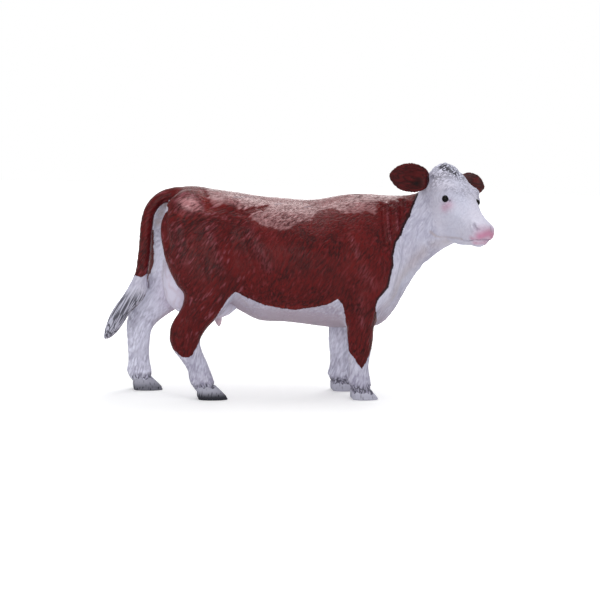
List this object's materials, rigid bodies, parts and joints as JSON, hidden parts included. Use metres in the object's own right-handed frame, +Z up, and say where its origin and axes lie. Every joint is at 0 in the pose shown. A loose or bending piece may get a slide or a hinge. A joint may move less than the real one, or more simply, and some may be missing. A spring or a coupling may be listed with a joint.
{
  "type": "toy cow figure",
  "caption": "Standing red-and-white toy beef cow in moulded plastic, head turned to its right, standing free on its hooves.",
  "frame": {"origin": "middle of the figure's outline on the ground, at the level of the hoof soles", "axes": "+X from tail to head, +Y to the animal's left, +Z up"},
  "size_m": [0.131, 0.0416, 0.0796],
  "materials": {
    "body_paint": "satin red-brown paint with white underside, on moulded hair",
    "head_paint": "satin white paint with pink muzzle, grey-washed poll and glossy black eyes",
    "ear_paint": "satin dark red-brown paint",
    "leg_paint": "satin white paint with grey-washed hooves, red-brown above",
    "tail_paint": "satin red-brown paint, white below with a grey-washed switch",
    "udder_paint": "satin pink-white paint"
  },
  "bodies": {
    "root": {"body": "body_paint", "head": "head_paint", "ear_right": "ear_paint", "ear_left": "ear_paint", "foreleg_right": "leg_paint", "foreleg_left": "leg_paint", "hind_leg_right": "leg_paint", "hind_leg_left": "leg_paint", "tail": "tail_paint", "udder": "udder_paint"}
  },
  "joints": []
}
